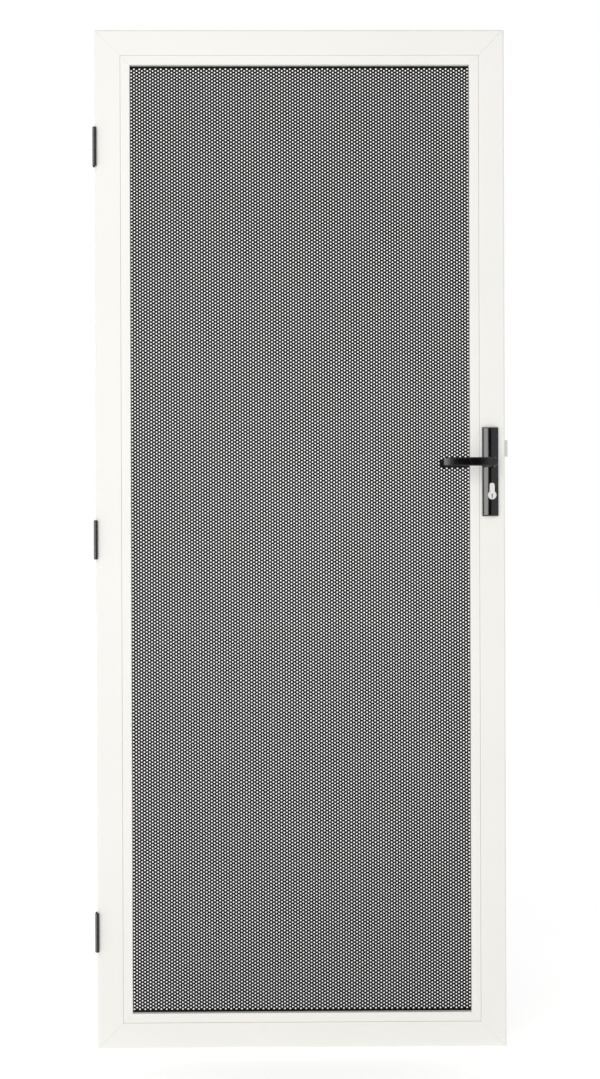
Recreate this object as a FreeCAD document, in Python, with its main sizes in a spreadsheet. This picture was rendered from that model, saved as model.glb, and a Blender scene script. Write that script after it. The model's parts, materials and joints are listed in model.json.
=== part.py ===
import FreeCAD, Part
import math
import os
from types import SimpleNamespace

import Sketcher
from FreeCAD import Placement, Rotation, Vector

# Driving dimensions in millimetres: name, value, what it measures
DIMENSIONS = [
    ("leaf_width", 820, "door leaf, edge to edge"),
    ("leaf_height", 2040, "door leaf, foot to head"),
    ("frame_depth", 20, "stiles and rails, front to back"),
    ("frame_face", 51, "front face of a stile or rail"),
    ("frame_wall", 1.6, "wall of the hollow section"),
    ("front_edge_radius", 4, "rounding of the outer front edge"),
    ("back_edge_radius", 2, "rounding of the outer back edge"),
    ("leg_reach", 19, "how far the rebate leg stands in past the front face"),
    ("leg_depth", 6.4, "rebate leg, front to back"),
    ("sheet_thickness", 1.2, "perforated sheet"),
    ("sheet_edge_gap", 1.5, "play between the sheet and the rebate wall"),
    ("bead_gap", 0.3, "shadow line between the frame and the bead"),
    ("bead_wall", 1.5, "wall of the glazing bead"),
    ("bead_setback", 0.4, "bead face behind the frame face"),
    ("bead_hook_depth", 8, "outer leg of the bead, front to back"),
    ("bead_edge_radius", 0.7, "rounding of the bead's front edges and the frame's beside it"),
    ("mitre_gap", 0.16, "hairline between two mitred ends"),
    ("hinge_height", 76, "hinge, end to end of the barrel"),
    ("hinge_inset", 234, "middle of an end hinge from the end of the leaf"),
    ("hinge_plate_thickness", 1.8, "hinge plate"),
    ("hinge_plate_margin", 1, "free edge of a hinge plate from the leaf's back face"),
    ("hinge_plate_gap", 0.8, "between the two plates of a closed hinge"),
    ("hinge_corner_radius", 3, "free corners of a hinge plate"),
    ("barrel_radius", 4.4, "outside of the hinge barrel"),
    ("barrel_clearance", 0.2, "between the hinge barrel and the frame's face"),
    ("pin_radius", 2.4, "hinge pin"),
    ("pin_clearance", 0.05, "play of the pin in the knuckles"),
    ("pin_head_radius", 3.8, "button head of the pin"),
    ("pin_head_height", 1.4, "button head of the pin"),
    ("pin_head_bevel", 0.9, "bevel of the button head"),
    ("knuckle_gap", 0.3, "end play between knuckles"),
    ("notch_clearance", 0.5, "plate cut back from the other half's knuckle"),
    ("screw_hole_radius", 2.3, "hinge screw hole"),
    ("screw_sink", 1.2, "countersink of a hinge screw hole"),
    ("outer_screw_spacing", 56, "between the outer pair of hinge screws"),
    ("inner_screw_spacing", 22, "between the inner pair of hinge screws"),
    ("screw_stagger", 4, "pairs of hinge screws to either side of the leaf's middle"),
    ("lever_rise", 1173, "lever axis above the foot"),
    ("spindle_backset", 27, "lever axis from the lock edge"),
    ("plate_rise", 1154, "middle of the lock plate above the foot"),
    ("plate_backset", 30, "middle of the lock plate from the lock edge"),
    ("plate_width", 32, "lock plate"),
    ("plate_length", 178, "lock plate"),
    ("plate_edge_height", 4.5, "lock plate at its long edges"),
    ("plate_crown_height", 8.5, "lock plate at its middle"),
    ("plate_end_bevel", 2.2, "bevel across the ends of the lock plate"),
    ("lever_length", 100, "lever from its axis to its tip"),
    ("lever_height", 17.4, "lever bar"),
    ("lever_thickness", 9, "lever bar"),
    ("lever_stand", 47, "crest of the lever's bowed front from the stile's face"),
    ("lever_bow_heel", 6.5, "turn of the bowed front at its round end, in degrees"),
    ("lever_bow_toe", 5.5, "turn of the bowed front where the bend starts, in degrees"),
    ("lever_bend_radius", 270, "front of the closer bend towards the tip"),
    ("lever_bend", 9.8, "turn of the front at the tip, in degrees"),
    ("lever_edge_radius", 2.6, "rounding of the lever's edges"),
    ("neck_radius", 8.5, "lever neck inside the lock plate"),
    ("neck_clearance", 0.4, "play of the neck in the lock plate"),
    ("neck_start", 2, "inner end of the neck from the stile's face"),
    ("collar_radius", 11.8, "collar of the lever in front of the lock plate"),
    ("collar_height", 3.5, "straight part of the collar"),
    ("collar_gap", 0.4, "collar from the crown of the lock plate"),
    ("stem_radius", 6.6, "stem between the collar and the bar"),
    ("stem_start", 20, "where the collar's taper ends, from the stile's face"),
    ("spindle_size", 7, "square spindle"),
    ("spindle_clearance", 0.1, "play of the spindle in the lever"),
    ("socket_end", 30, "bottom of the spindle socket from the stile's face"),
    ("cylinder_rise", 1107, "key axis above the foot"),
    ("cylinder_radius", 8.5, "round part of the cylinder body"),
    ("cylinder_height", 33, "cylinder body, round part and leg"),
    ("cylinder_leg_width", 10, "leg of the cylinder body"),
    ("cylinder_proud", 1.2, "cylinder in front of the lock plate's crown"),
    ("cylinder_clearance", 0.3, "play of the cylinder in the lock plate and case"),
    ("plug_radius", 6.5, "key plug"),
    ("plug_clearance", 0.05, "play of the plug in the cylinder"),
    ("plug_length", 17, "key plug"),
    ("keyway_width", 2.2, "key slot"),
    ("keyway_top", 2.4, "key slot above the plug's axis"),
    ("keyway_foot", 5.8, "key slot below the plug's axis"),
    ("keyway_depth", 12, "key slot"),
    ("latch_rise", 1201, "middle of the latch above the foot"),
    ("latch_height", 33, "latch bolt"),
    ("latch_thickness", 8.6, "latch bolt"),
    ("latch_throw", 6, "latch in front of the lock edge"),
    ("latch_tail", 28, "latch behind the lock edge"),
    ("latch_nose", 1.6, "flat nose of the bevelled latch"),
    ("latch_clearance", 0.4, "play of the latch in the forend and case"),
    ("latch_end_room", 1.5, "room behind the drawn latch"),
    ("forend_length", 186, "lock forend"),
    ("forend_width", 12, "lock forend"),
    ("forend_thickness", 2.4, "lock forend"),
    ("forend_gap", 0.3, "forend in the stile's mortice"),
    ("case_length", 152, "lock case"),
    ("case_depth", 44, "lock case behind the forend"),
    ("case_thickness", 12.4, "lock case"),
    ("hub_clearance", 0.8, "lock case round the turning spindle"),
    ("wall_hole_margin", 1.5, "stile wall cut back round the neck and the cylinder"),
]

KNUCKLES = 5
MITRE_MARGIN = 1
WALL_CUT_MARGIN = 0.6
NOTCH_MARGIN = 1
ROUND_END_MARGIN = 1
TOLERANCE = 1e-4
CENTRE = 3

doc = FreeCAD.newDocument("screen_door")
sheet = doc.addObject("Spreadsheet::Sheet", "dims")
for row, (alias, value, note) in enumerate(DIMENSIONS, 1):
    sheet.set(f"A{row}", alias)
    sheet.set(f"B{row}", str(value))
    sheet.setAlias(f"B{row}", alias)
    sheet.set(f"C{row}", note)
doc.recompute()


class Size:
    """A length together with the sheet formula that gives it."""

    def __init__(self, value, formula):
        self.value = value
        self.formula = formula

    @staticmethod
    def of(number):
        if isinstance(number, Size):
            return number
        return Size(float(number), repr(float(number)))

    def joined(self, sign, other, value):
        return Size(value, f"({self.formula} {sign} {other.formula})")

    def __add__(self, other):
        other = Size.of(other)
        return self.joined("+", other, self.value + other.value)

    def __sub__(self, other):
        other = Size.of(other)
        return self.joined("-", other, self.value - other.value)

    def __mul__(self, other):
        other = Size.of(other)
        return self.joined("*", other, self.value * other.value)

    def __truediv__(self, other):
        other = Size.of(other)
        return self.joined("/", other, self.value / other.value)

    def __radd__(self, other):
        return Size.of(other) + self

    def __rsub__(self, other):
        return Size.of(other) - self

    def __rmul__(self, other):
        return Size.of(other) * self

    def __neg__(self):
        return Size(-self.value, f"(-{self.formula})")

    def root(self):
        return Size(math.sqrt(self.value), f"sqrt({self.formula})")

    def sine(self):
        return Size(math.sin(math.radians(self.value)), f"sin({self.formula} * 1deg)")

    def cosine(self):
        return Size(math.cos(math.radians(self.value)), f"cos({self.formula} * 1deg)")


D = SimpleNamespace(**{alias: Size(float(value), f"dims.{alias}") for alias, value, note in DIMENSIONS})
ZERO = Size.of(0)

# Places that several pieces share: the jamb is the plane x = 0, the leaf's middle is y = 0 and z = 0
door_edge = 2 * D.hinge_plate_thickness + D.hinge_plate_gap
lock_edge = door_edge + D.leaf_width
front_face = -D.frame_depth / 2
back_face = D.frame_depth / 2
foot = -D.leaf_height / 2
head = D.leaf_height / 2
pin_axis_x = D.barrel_radius
pin_axis_y = front_face - D.barrel_radius - D.barrel_clearance
spindle_x = lock_edge - D.spindle_backset
plate_x = lock_edge - D.plate_backset
lever_z = foot + D.lever_rise
plate_z = foot + D.plate_rise
cylinder_z = foot + D.cylinder_rise
latch_z = foot + D.latch_rise
sight_inset = D.frame_face + D.leg_reach
sheet_back_depth = D.frame_depth - D.leg_depth
sheet_front_depth = sheet_back_depth - D.sheet_thickness


# Drawing and feature helpers

def bind(thing, name, size):
    thing.setExpression(name, Size.of(size).formula)


def new_body(name):
    body = doc.addObject("PartDesign::Body", name)
    body.Label = name
    return body


def place(thing, x, y, z, turn=None):
    thing.Placement = Placement(Vector(), turn or Rotation())
    bind(thing, "Placement.Base.x", x)
    bind(thing, "Placement.Base.y", y)
    bind(thing, "Placement.Base.z", z)


def new_sketch(body, name, plane):
    sketch = body.newObject("Sketcher::SketchObject", name)
    support = [item for item in body.Origin.OriginFeatures if item.Role == plane]
    sketch.AttachmentSupport = [(support[0], "")]
    sketch.MapMode = "FlatFace"
    return sketch


def fix_distance(sketch, kind, axis, edge, end, size):
    if size.formula == ZERO.formula:
        sketch.addConstraint(Sketcher.Constraint("PointOnObject", edge, end, axis))
    else:
        number = sketch.addConstraint(Sketcher.Constraint(kind, -1, 1, edge, end, size.value))
        bind(sketch, f"Constraints[{number}]", size)


def fix_across(sketch, edge, end, x):
    fix_distance(sketch, "DistanceX", -2, edge, end, x)


def fix_up(sketch, edge, end, y):
    fix_distance(sketch, "DistanceY", -1, edge, end, y)


def fix_point(sketch, edge, end, x, y):
    fix_across(sketch, edge, end, x)
    fix_up(sketch, edge, end, y)


def fix_radius(sketch, edge, radius):
    number = sketch.addConstraint(Sketcher.Constraint("Radius", edge, radius.value))
    bind(sketch, f"Constraints[{number}]", radius)


def arc_between(start, end, radius, bulge, major):
    """An arc that swells to the right of the way from start to end where bulge is 1, or to the left at -1."""
    chord = end - start
    middle = (start + end) / 2
    outward = Vector(chord.y, -chord.x, 0).normalize() * bulge
    rise = math.sqrt(max(radius ** 2 - (chord.Length / 2) ** 2, 0))
    crest = radius + rise if major else radius - rise
    return Part.Arc(start, middle + outward * crest, end)


def outline(sketch, corners, arcs=None):
    """A closed outline through the corners; arcs maps an edge's number to (radius, bulge, kind)."""
    arcs = arcs or {}
    corners = [(Size.of(x), Size.of(y)) for x, y in corners]
    points = [Vector(x.value, y.value, 0) for x, y in corners]
    edges = []
    for number, start in enumerate(points):
        end = points[(number + 1) % len(points)]
        if number in arcs:
            radius, bulge, kind = arcs[number]
            edge = sketch.addGeometry(arc_between(start, end, radius.value, bulge, kind == "major"), False)
            if kind == "half" and near(end.y, start.y):
                fix_up(sketch, edge, CENTRE, corners[number][1])
            elif kind == "half":
                fix_across(sketch, edge, CENTRE, corners[number][0])
            else:
                fix_radius(sketch, edge, radius)
            edges.append((edge, 1, 2) if bulge > 0 else (edge, 2, 1))
        else:
            edges.append((sketch.addGeometry(Part.LineSegment(start, end), False), 1, 2))
    for number, (edge, first, last) in enumerate(edges):
        following, following_first, _ = edges[(number + 1) % len(edges)]
        sketch.addConstraint(Sketcher.Constraint("Coincident", edge, last, following, following_first))
    for (edge, first, last), (x, y) in zip(edges, corners):
        fix_point(sketch, edge, first, x, y)


def rectangle(sketch, x_low, y_low, x_high, y_high):
    outline(sketch, [(x_low, y_low), (x_high, y_low), (x_high, y_high), (x_low, y_high)])


def circle(sketch, x, y, radius):
    x = Size.of(x)
    y = Size.of(y)
    ring = Part.Circle(Vector(x.value, y.value, 0), Vector(0, 0, 1), radius.value)
    edge = sketch.addGeometry(ring, False)
    fix_point(sketch, edge, CENTRE, x, y)
    fix_radius(sketch, edge, radius)


def pad(body, sketch, length, side="Symmetric", reverse=False):
    feature = body.newObject("PartDesign::Pad", f"{sketch.Name}_pad")
    feature.Profile = sketch
    feature.SideType = side
    feature.Reversed = reverse
    bind(feature, "Length", length)
    doc.recompute()
    return feature


def pocket(body, sketch, reach=None):
    """A cut to both sides of the sketch: through everything, or as far as reach on each side."""
    volume = body.Shape.Volume
    feature = body.newObject("PartDesign::Pocket", f"{sketch.Name}_cut")
    feature.Profile = sketch
    feature.SideType = "Symmetric"
    if reach is None:
        feature.Type = "ThroughAll"
    else:
        bind(feature, "Length", 2 * reach)
    doc.recompute()
    if not body.Shape.Volume < volume - TOLERANCE:
        raise RuntimeError(f"{feature.Name} cuts nothing")
    return feature


def revolve(body, sketch):
    feature = body.newObject("PartDesign::Revolution", f"{sketch.Name}_turn")
    feature.Profile = sketch
    feature.ReferenceAxis = (sketch, ["V_Axis"])
    feature.Angle = 360
    doc.recompute()
    return feature


def edges_where(shape, test):
    names = [f"Edge{number}" for number, edge in enumerate(shape.Edges, 1) if test(edge.BoundBox, edge)]
    if not names:
        raise RuntimeError("no edge fits")
    return names


def round_off(body, name, radius, test):
    base = body.Tip
    feature = body.newObject("PartDesign::Fillet", name)
    feature.Base = (base, edges_where(base.Shape, test))
    bind(feature, "Radius", radius)
    doc.recompute()
    return feature


def bevel(body, name, size, test):
    base = body.Tip
    feature = body.newObject("PartDesign::Chamfer", name)
    feature.Base = (base, edges_where(base.Shape, test))
    bind(feature, "Size", size)
    doc.recompute()
    return feature


def near(value, size):
    return abs(value - Size.of(size).value) < TOLERANCE


def at(low, high, size):
    return near(low, size) and near(high, size)


# Frame members and beads share one local frame: x along the member, y from front to back, z inwards

FRAME_SIDES = {
    "bottom": (D.leaf_width, Rotation(), door_edge, foot),
    "top": (D.leaf_width, Rotation(Vector(0, 1, 0), 180), lock_edge, head),
    "hinge": (D.leaf_height, Rotation(Vector(0, 1, 0), 90), door_edge, head),
    "lock": (D.leaf_height, Rotation(Vector(0, 1, 0), -90), lock_edge, foot),
}


def mitre_ends(body, name, length):
    """Both ends cut at 45 degrees from the member's outer corners, less half of the hairline."""
    reach = sight_inset + MITRE_MARGIN
    setback = D.mitre_gap * Size.of(0.5).root()
    cut = new_sketch(body, f"{name}_mitre", "XZ_Plane")
    outline(cut, [(0, 0), (setback, 0), (reach + setback, reach), (0, reach)])
    outline(cut, [(length, 0), (length, reach), (length - reach - setback, reach), (length - setback, 0)])
    pocket(body, cut)


def frame_member(name, side):
    """A hollow section with a rebate leg at the back, mitred at both ends."""
    length, turn, x, z = FRAME_SIDES[side]
    wall = D.frame_wall
    inner_back = D.frame_depth - wall
    inner_leg = sheet_back_depth + wall
    body = new_body(name)
    section = new_sketch(body, f"{name}_section", "YZ_Plane")
    outline(section, [
        (0, 0), (D.frame_depth, 0), (D.frame_depth, sight_inset),
        (sheet_back_depth, sight_inset), (sheet_back_depth, D.frame_face), (0, D.frame_face),
    ])
    outline(section, [
        (wall, wall), (inner_back, wall), (inner_back, sight_inset - wall),
        (inner_leg, sight_inset - wall), (inner_leg, D.frame_face - wall), (wall, D.frame_face - wall),
    ])
    pad(body, section, length, side="One side")
    round_off(body, f"{name}_front_edge", D.front_edge_radius,
              lambda box, edge: at(box.YMin, box.YMax, 0) and at(box.ZMin, box.ZMax, 0))
    round_off(body, f"{name}_back_edge", D.back_edge_radius,
              lambda box, edge: at(box.YMin, box.YMax, D.frame_depth) and at(box.ZMin, box.ZMax, 0))
    round_off(body, f"{name}_rebate_edge", D.bead_edge_radius,
              lambda box, edge: at(box.YMin, box.YMax, 0) and at(box.ZMin, box.ZMax, D.frame_face))
    mitre_ends(body, name, length)
    place(body, x, front_face, z, turn)
    return body


def bead(name, side):
    """A channel that snaps in front of the sheet: face, inner leg down to the sheet and a shorter hook."""
    length, turn, x, z = FRAME_SIDES[side]
    outer = D.frame_face + D.bead_gap
    face = D.bead_setback
    inside = face + D.bead_wall
    hook_end = face + D.bead_hook_depth
    body = new_body(name)
    section = new_sketch(body, f"{name}_section", "YZ_Plane")
    outline(section, [
        (face, outer), (hook_end, outer), (hook_end, outer + D.bead_wall), (inside, outer + D.bead_wall),
        (inside, sight_inset - D.bead_wall), (sheet_front_depth, sight_inset - D.bead_wall),
        (sheet_front_depth, sight_inset), (face, sight_inset),
    ])
    pad(body, section, length, side="One side")
    round_off(body, f"{name}_edges", D.bead_edge_radius,
              lambda box, edge: at(box.YMin, box.YMax, face) and box.XLength > 1)
    mitre_ends(body, name, length)
    place(body, x, front_face, z, turn)
    return body


def perforated_sheet():
    """The plain sheet behind the beads; its small holes are a surface matter."""
    inset = D.frame_face + D.sheet_edge_gap
    panel = doc.addObject("Part::Box", "perforated_sheet")
    panel.Label = "perforated_sheet"
    bind(panel, "Length", D.leaf_width - 2 * inset)
    bind(panel, "Width", D.sheet_thickness)
    bind(panel, "Height", D.leaf_height - 2 * inset)
    place(panel, door_edge + inset, front_face + sheet_front_depth, foot + inset)
    return panel


# Hinges: local frame on the pin axis at the hinge's middle, axes as in the door

HINGE_PLACES = {"top": head - D.hinge_inset, "middle": ZERO, "bottom": foot + D.hinge_inset}


def screw_places():
    """Hinge screws as (distance from the pin axis, height from the hinge's middle)."""
    middle = -pin_axis_y
    pairs = ((middle + D.screw_stagger, D.outer_screw_spacing), (middle - D.screw_stagger, D.inner_screw_spacing))
    return [(reach, sign * spacing / 2) for reach, spacing in pairs for sign in (-1, 1)]


def hinge_half(name, place_name, plate_low, plate_start, sunk_face, kept_knuckles):
    """A plate rolled into its share of the knuckles, with sunk screw holes."""
    bore = D.pin_radius + D.pin_clearance
    plate_end = back_face - D.hinge_plate_margin - pin_axis_y
    body = new_body(name)
    barrel = new_sketch(body, f"{name}_barrel", "XY_Plane")
    circle(barrel, 0, 0, D.barrel_radius)
    circle(barrel, 0, 0, bore)
    pad(body, barrel, D.hinge_height)
    plate = new_sketch(body, f"{name}_plate", "XY_Plane")
    rectangle(plate, plate_low, plate_start, plate_low + D.hinge_plate_thickness, plate_end)
    pad(body, plate, D.hinge_height)
    round_off(body, f"{name}_corners", D.hinge_corner_radius,
              lambda box, edge: at(box.YMin, box.YMax, plate_end) and box.ZLength < 1)
    notch_reach = D.barrel_radius + D.notch_clearance
    pitch = D.hinge_height / KNUCKLES
    notches = new_sketch(body, f"{name}_notches", "YZ_Plane")
    for number in range(KNUCKLES):
        if number in kept_knuckles:
            continue
        low = number * pitch - D.hinge_height / 2 - D.knuckle_gap / 2
        high = (number + 1) * pitch - D.hinge_height / 2 + D.knuckle_gap / 2
        if number == 0:
            low = low - NOTCH_MARGIN
        if number == KNUCKLES - 1:
            high = high + NOTCH_MARGIN
        rectangle(notches, -notch_reach, low, notch_reach, high)
    pocket(body, notches)
    holes = new_sketch(body, f"{name}_holes", "YZ_Plane")
    for reach, height in screw_places():
        circle(holes, reach, height, D.screw_hole_radius)
    pocket(body, holes)
    bevel(body, f"{name}_sinks", D.screw_sink,
          lambda box, edge: at(box.XMin, box.XMax, sunk_face) and isinstance(edge.Curve, Part.Circle)
          and near(edge.Curve.Radius, D.screw_hole_radius))
    place(body, pin_axis_x, pin_axis_y, HINGE_PLACES[place_name])
    return body


def hinge_jamb_half(place_name):
    plate_low = -pin_axis_x
    return hinge_half(f"{place_name}_hinge_jamb_half", place_name, plate_low, ZERO,
                      plate_low + D.hinge_plate_thickness, (0, 2, 4))


def hinge_door_half(place_name):
    plate_low = door_edge - D.hinge_plate_thickness - pin_axis_x
    wall_middle = (D.barrel_radius + D.pin_radius + D.pin_clearance) / 2
    return hinge_half(f"{place_name}_hinge_door_half", place_name, plate_low, wall_middle, plate_low, (1, 3))


def hinge_pin(place_name):
    """A plain pin with a button head at each end."""
    name = f"{place_name}_hinge_pin"
    barrel_end = D.hinge_height / 2
    tip = barrel_end + D.pin_head_height
    body = new_body(name)
    half = new_sketch(body, f"{name}_half", "XZ_Plane")
    outline(half, [
        (0, -tip), (D.pin_head_radius, -tip), (D.pin_head_radius, -barrel_end), (D.pin_radius, -barrel_end),
        (D.pin_radius, barrel_end), (D.pin_head_radius, barrel_end), (D.pin_head_radius, tip), (0, tip),
    ])
    revolve(body, half)
    bevel(body, f"{name}_rims", D.pin_head_bevel,
          lambda box, edge: at(abs(box.ZMin), abs(box.ZMax), tip) and isinstance(edge.Curve, Part.Circle))
    place(body, pin_axis_x, pin_axis_y, HINGE_PLACES[place_name])
    return body


# Lock: the plates, levers, cylinder and latch

def euro_outline(sketch, x, z, growth):
    """The cylinder's section with its leg up, grown all round by a clearance."""
    half_leg = D.cylinder_leg_width / 2
    round_radius = D.cylinder_radius + growth
    leg_radius = half_leg + growth
    shoulder = z + (round_radius * round_radius - leg_radius * leg_radius).root()
    leg_end = z + D.cylinder_height - D.cylinder_radius - half_leg
    outline(sketch, [
        (x + leg_radius, shoulder), (x + leg_radius, leg_end), (x - leg_radius, leg_end),
        (x - leg_radius, shoulder),
    ], {1: (leg_radius, 1, "half"), 3: (round_radius, 1, "major")})


def lock_stile():
    """The stile at the lock edge, with the mortice for the forend and holes under the lock plates."""
    body = frame_member("lock_stile", "lock")
    mortice = new_sketch(body, "lock_stile_mortice", "XY_Plane")
    half_length = D.forend_length / 2 + D.forend_gap
    half_width = D.forend_width / 2 + D.forend_gap
    rectangle(mortice, D.plate_rise - half_length, D.frame_depth / 2 - half_width,
              D.plate_rise + half_length, D.frame_depth / 2 + half_width)
    pocket(body, mortice, D.forend_thickness + WALL_CUT_MARGIN)
    holes = new_sketch(body, "lock_stile_holes", "XZ_Plane")
    circle(holes, D.lever_rise, D.spindle_backset, D.neck_radius + D.wall_hole_margin)
    half_slot = D.cylinder_radius + D.wall_hole_margin
    leg_top = D.cylinder_rise + D.cylinder_height - D.cylinder_radius + D.wall_hole_margin
    rectangle(holes, D.cylinder_rise - half_slot, D.spindle_backset - half_slot,
              leg_top, D.spindle_backset + half_slot)
    pocket(body, holes)
    return body


def lock_plate(name, side):
    """A crowned plate with bevelled ends; side is -1 on the outside and 1 on the inside."""
    half_width = D.plate_width / 2
    swell = D.plate_crown_height - D.plate_edge_height
    crown_radius = (half_width * half_width + swell * swell) / (2 * swell)
    spindle_offset = side * (D.plate_backset - D.spindle_backset)
    body = new_body(name)
    section = new_sketch(body, f"{name}_section", "XY_Plane")
    outline(section, [
        (-half_width, 0), (half_width, 0), (half_width, D.plate_edge_height),
        (-half_width, D.plate_edge_height),
    ], {2: (crown_radius, 1, "minor")})
    pad(body, section, D.plate_length)
    bevel(body, f"{name}_ends", D.plate_end_bevel,
          lambda box, edge: isinstance(edge.Curve, Part.Circle) and box.ZLength < TOLERANCE)
    holes = new_sketch(body, f"{name}_holes", "XZ_Plane")
    circle(holes, spindle_offset, D.lever_rise - D.plate_rise, D.neck_radius + D.neck_clearance)
    euro_outline(holes, spindle_offset, D.cylinder_rise - D.plate_rise, D.cylinder_clearance)
    pocket(body, holes)
    turn = Rotation(Vector(0, 0, 1), 180 if side < 0 else 0)
    place(body, plate_x, front_face if side < 0 else back_face, plate_z, turn)
    return body


def lever(name, side):
    """A bowed bar with a round end that bends back at its tip, on a turned stem with a collar and a neck."""
    rim = D.lever_height / 2
    thickness = D.lever_thickness
    heel, toe, tip = D.lever_bow_heel, D.lever_bow_toe, D.lever_bend
    heel_reach = rim + thickness * heel.sine() + ROUND_END_MARGIN
    bend_x = D.lever_length - D.lever_bend_radius * (tip.sine() - toe.sine())
    bow_radius = (bend_x + heel_reach) / (heel.sine() + toe.sine())
    bow_x = bend_x - bow_radius * toe.sine()
    bow_y = D.lever_stand - bow_radius
    bend_centre_x = bend_x - D.lever_bend_radius * toe.sine()
    bend_centre_y = bow_y + (bow_radius - D.lever_bend_radius) * toe.cosine()

    def on_bow(depth, turn, way):
        reach = bow_radius - depth
        return bow_x + way * reach * turn.sine(), bow_y + reach * turn.cosine()

    def on_bend(depth, turn):
        reach = D.lever_bend_radius - depth
        return bend_centre_x + reach * turn.sine(), bend_centre_y + reach * turn.cosine()

    body = new_body(name)
    plan = new_sketch(body, f"{name}_plan", "XY_Plane")
    outline(plan, [
        on_bow(thickness, heel, -1), on_bow(thickness, toe, 1), on_bend(thickness, tip),
        on_bend(ZERO, tip), on_bow(ZERO, toe, 1), on_bow(ZERO, heel, -1),
    ], {
        0: (bow_radius - thickness, -1, "minor"), 1: (D.lever_bend_radius - thickness, -1, "minor"),
        3: (D.lever_bend_radius, 1, "minor"), 4: (bow_radius, 1, "minor"),
    })
    pad(body, plan, D.lever_height)
    spare = heel_reach + ROUND_END_MARGIN
    corners = new_sketch(body, f"{name}_round_end", "XZ_Plane")
    outline(corners, [
        (0, rim), (0, spare), (-spare, spare), (-spare, -spare), (0, -spare), (0, -rim),
    ], {5: (rim, -1, "half")})
    pocket(body, corners)
    round_off(body, f"{name}_edges", D.lever_edge_radius,
              lambda box, edge: box.XLength > TOLERANCE or box.XMin > TOLERANCE)
    collar_start = D.plate_crown_height + D.collar_gap
    stem_end = D.lever_stand - thickness / 2
    stem = new_sketch(body, f"{name}_stem", "XY_Plane")
    outline(stem, [
        (0, D.neck_start), (D.neck_radius, D.neck_start), (D.neck_radius, collar_start),
        (D.collar_radius, collar_start), (D.collar_radius, collar_start + D.collar_height),
        (D.stem_radius, D.stem_start), (D.stem_radius, stem_end), (0, stem_end),
    ])
    revolve(body, stem)
    socket = new_sketch(body, f"{name}_socket", "XZ_Plane")
    half_socket = D.spindle_size / 2 + D.spindle_clearance
    rectangle(socket, -half_socket, -half_socket, half_socket, half_socket)
    pocket(body, socket, D.socket_end)
    turn = Rotation(Vector(0, 0, 1), 180) if side < 0 else Rotation(Vector(0, 1, 0), 180)
    place(body, spindle_x, front_face if side < 0 else back_face, lever_z, turn)
    return body


def spindle():
    """A square bar from one lever's socket to the other's."""
    half_size = D.spindle_size / 2
    bar = doc.addObject("Part::Box", "spindle")
    bar.Label = "spindle"
    bind(bar, "Length", D.spindle_size)
    bind(bar, "Width", D.frame_depth + 2 * (D.socket_end - D.spindle_clearance))
    bind(bar, "Height", D.spindle_size)
    place(bar, spindle_x - half_size, front_face - D.socket_end + D.spindle_clearance, lever_z - half_size)
    return bar


cylinder_length = D.frame_depth + 2 * (D.plate_crown_height + D.cylinder_proud)


def cylinder_body():
    """The profile cylinder's body, bored from end to end for its two plugs."""
    body = new_body("cylinder_body")
    section = new_sketch(body, "cylinder_section", "XZ_Plane")
    euro_outline(section, ZERO, ZERO, ZERO)
    pad(body, section, cylinder_length)
    bore = new_sketch(body, "cylinder_bore", "XZ_Plane")
    circle(bore, 0, 0, D.plug_radius + D.plug_clearance)
    pocket(body, bore)
    place(body, spindle_x, 0, cylinder_z)
    return body


def key_plug(name, side):
    """A round plug with its key slot, flush with the cylinder's end."""
    body = new_body(name)
    section = new_sketch(body, f"{name}_section", "XZ_Plane")
    circle(section, 0, 0, D.plug_radius)
    pad(body, section, D.plug_length, side="One side")
    slot = new_sketch(body, f"{name}_slot", "XZ_Plane")
    half_slot = D.keyway_width / 2
    rectangle(slot, -half_slot, -D.keyway_foot, half_slot, D.keyway_top)
    slot.AttachmentOffset = Placement(Vector(0, 0, D.plug_length.value), Rotation())
    bind(slot, "AttachmentOffset.Base.z", D.plug_length)
    pocket(body, slot, D.keyway_depth)
    turn = Rotation(Vector(0, 0, 1), 0 if side < 0 else 180)
    place(body, spindle_x, side * (cylinder_length / 2 - D.plug_length), cylinder_z, turn)
    return body


def latch_bolt():
    """The sprung latch, with its bevel on the side that meets the strike first."""
    half_thickness = D.latch_thickness / 2
    body = new_body("latch_bolt")
    plan = new_sketch(body, "latch_plan", "XY_Plane")
    outline(plan, [
        (-D.latch_tail, -half_thickness), (D.latch_throw, -half_thickness),
        (D.latch_throw, D.latch_nose - half_thickness), (0, half_thickness), (-D.latch_tail, half_thickness),
    ])
    pad(body, plan, D.latch_height)
    place(body, lock_edge, 0, latch_z)
    return body


def latch_window(sketch):
    half_width = D.latch_thickness / 2 + D.latch_clearance
    half_height = D.latch_height / 2 + D.latch_clearance
    middle = D.latch_rise - D.plate_rise
    rectangle(sketch, -half_width, middle - half_height, half_width, middle + half_height)


def lock_forend():
    """The face plate of the mortice lock, flush with the lock edge."""
    half_length = D.forend_length / 2
    half_width = D.forend_width / 2
    body = new_body("lock_forend")
    face = new_sketch(body, "forend_face", "YZ_Plane")
    rectangle(face, -half_width, -half_length, half_width, half_length)
    pad(body, face, D.forend_thickness, side="One side", reverse=True)
    window = new_sketch(body, "forend_window", "YZ_Plane")
    latch_window(window)
    pocket(body, window)
    place(body, lock_edge, 0, plate_z)
    return body


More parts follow.
